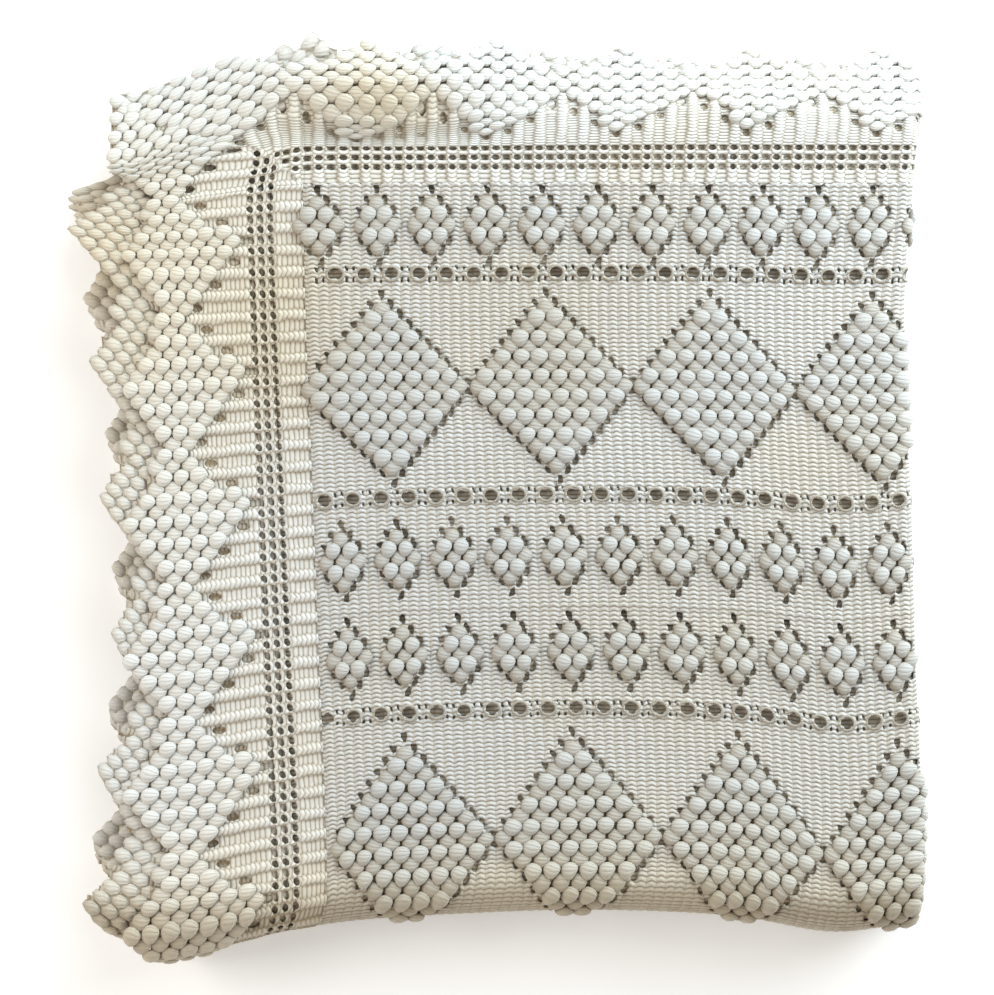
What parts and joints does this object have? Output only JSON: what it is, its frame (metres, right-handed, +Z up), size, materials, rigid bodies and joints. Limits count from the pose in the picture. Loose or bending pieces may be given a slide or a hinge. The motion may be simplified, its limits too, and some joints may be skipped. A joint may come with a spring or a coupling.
{
  "type": "crochet bedspread",
  "caption": "Cream cotton crochet bedspread with raised bobble diamonds, eyelet bands and a zigzag bobble border, folded flat in a pile.",
  "frame": {"origin": "middle of the folded pile, on the surface it lies on", "axes": "+Z up out of the pile's face, +Y towards the free top edge, +X towards the right fold"},
  "size_m": [0.5812, 0.6438, 0.0665],
  "materials": {
    "field_cotton": "matt crochet cotton, cream",
    "border_cotton": "matt crochet cotton, warm cream"
  },
  "bodies": {
    "root": {"strip_1": "field_cotton", "strip_2": "field_cotton", "strip_3": "field_cotton", "strip_4": "field_cotton", "strip_5": "field_cotton", "strip_6": "field_cotton", "strip_7": "field_cotton", "border": "border_cotton"}
  },
  "joints": []
}
